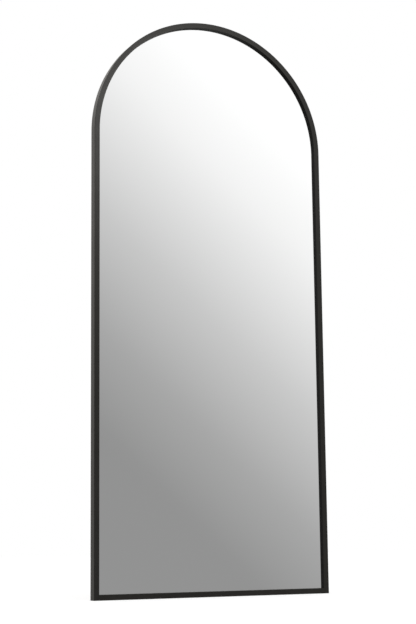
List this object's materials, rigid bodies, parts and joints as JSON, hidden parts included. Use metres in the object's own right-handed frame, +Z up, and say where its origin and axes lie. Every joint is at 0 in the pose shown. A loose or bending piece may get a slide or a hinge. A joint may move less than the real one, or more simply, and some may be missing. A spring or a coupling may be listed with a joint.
{
  "type": "full-length wall mirror",
  "caption": "Tall wall mirror with a half-round top and square foot in a slim black metal frame, glass set back behind the frame's face, D-ring hangers and rubber bumpers behind.",
  "frame": {"origin": "middle of the bottom rail's underside, half way through the frame's depth", "axes": "+Z up along the mirror's height, +X across it to the right of a person who faces the glass, -Y out of the glass towards that person, +Y towards the wall"},
  "size_m": [0.78, 0.032, 1.8],
  "materials": {
    "frame_metal": "black anodised, satin",
    "mirror": "silvered float glass, polished",
    "film": "grey safety film",
    "foam": "closed-cell foam",
    "tape": "black foam tape",
    "board": "hard fibre board",
    "zinc": "bright zinc plated",
    "key_metal": "die cast, bare",
    "black_screw": "black oxide",
    "rubber": "black rubber"
  },
  "bodies": {
    "mirror": {"arch_frame": "frame_metal", "bottom_rail": "frame_metal", "corner_key_left": "key_metal", "corner_key_right": "key_metal", "rail_screws": "black_screw", "stile_screws": "zinc", "glazing_tape": "tape", "mirror_glass": "mirror", "safety_film": "film", "foam_sheet": "foam", "backing_board": "board", "setting_block_left": "rubber", "setting_block_right": "rubber", "edge_spacers": "rubber", "corner_plate_left": "zinc", "corner_plate_right": "zinc", "corner_plate_screws": "zinc", "hanger_strap_left": "zinc", "hanger_strap_right": "zinc", "hanger_screws": "zinc", "bumper_lower_left": "rubber", "bumper_lower_right": "rubber", "bumper_upper_left": "rubber", "bumper_upper_right": "rubber", "bumper_screws": "zinc"},
    "ring_left": {"hanger_ring_left": "zinc"},
    "ring_right": {"hanger_ring_right": "zinc"}
  },
  "joints": [
    {"name": "ring_left_turn", "type": "hinge", "parent": "mirror", "child": "ring_left", "pos_m": [-0.375, 0.01013, 1.34], "axis": [1, 0, 0], "range_deg": [0, 178]},
    {"name": "ring_right_turn", "type": "hinge", "parent": "mirror", "child": "ring_right", "pos_m": [0.375, 0.01013, 1.34], "axis": [1, 0, 0], "range_deg": [0, 178]}
  ]
}
